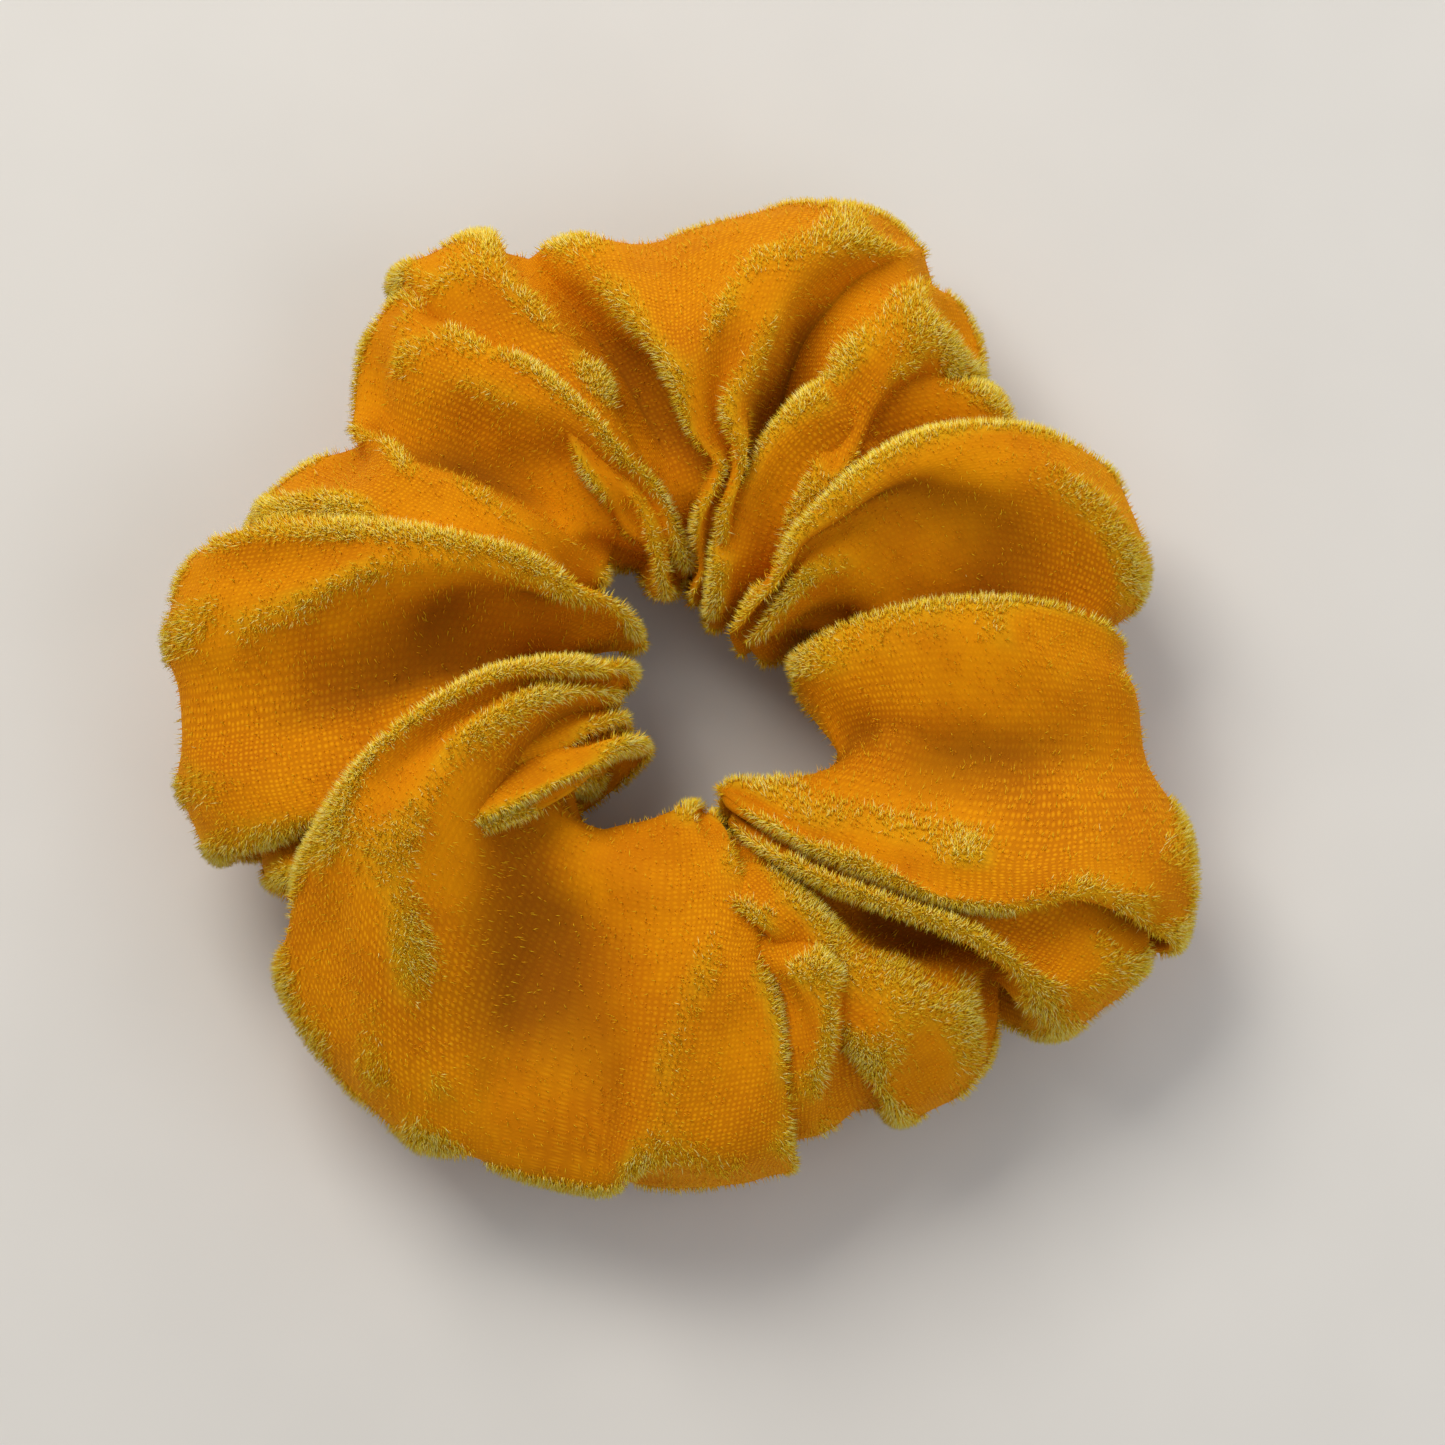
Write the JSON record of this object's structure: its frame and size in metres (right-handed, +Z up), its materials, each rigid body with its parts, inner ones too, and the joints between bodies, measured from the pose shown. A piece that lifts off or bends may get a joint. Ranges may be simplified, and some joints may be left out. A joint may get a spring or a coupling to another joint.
{
  "type": "scrunchie",
  "caption": "Gathered velvet hair scrunchie: a sewn fabric tube closed into a ruffled ring round a stretchy braided elastic loop.",
  "frame": {"origin": "middle of the ring's underside, on the surface that it lies on", "axes": "+Z up out of the ring, +X across the ring in the direction in which it is stretched, +Y towards the two large gathers at the back"},
  "size_m": [0.1148, 0.1146, 0.0332],
  "materials": {
    "velvet": "golden orange stretch velvet, short pile with bright fibre tips",
    "seam_thread": "spun polyester sewing thread, matt",
    "elastic_braid": "white braided polyester yarn, matt",
    "join_thread": "white sewing thread, matt",
    "rubber_core": "natural latex cord, satin"
  },
  "bodies": {
    "left_side": {"velvet_cover_left": "velvet", "elastic_braid": "elastic_braid", "rubber_core_1": "rubber_core", "rubber_core_2": "rubber_core", "rubber_core_3": "rubber_core", "rubber_core_4": "rubber_core", "rubber_core_5": "rubber_core", "rubber_core_6": "rubber_core", "rubber_core_7": "rubber_core", "rubber_core_8": "rubber_core", "elastic_join_stitching": "join_thread", "cover_seam_thread": "seam_thread"},
    "right_side": {"velvet_cover_right": "velvet", "cover_closing_thread": "seam_thread"}
  },
  "joints": [
    {"name": "stretch", "type": "slide", "parent": "left_side", "child": "right_side", "axis": [1, 0, 0], "range_m": [0, 0.08], "stiffness_N_per_m": 150, "deforming": ["elastic_braid", "rubber_core_1", "rubber_core_2", "rubber_core_3", "rubber_core_4", "rubber_core_5", "rubber_core_6", "rubber_core_7", "rubber_core_8", "cover_seam_thread"]}
  ]
}
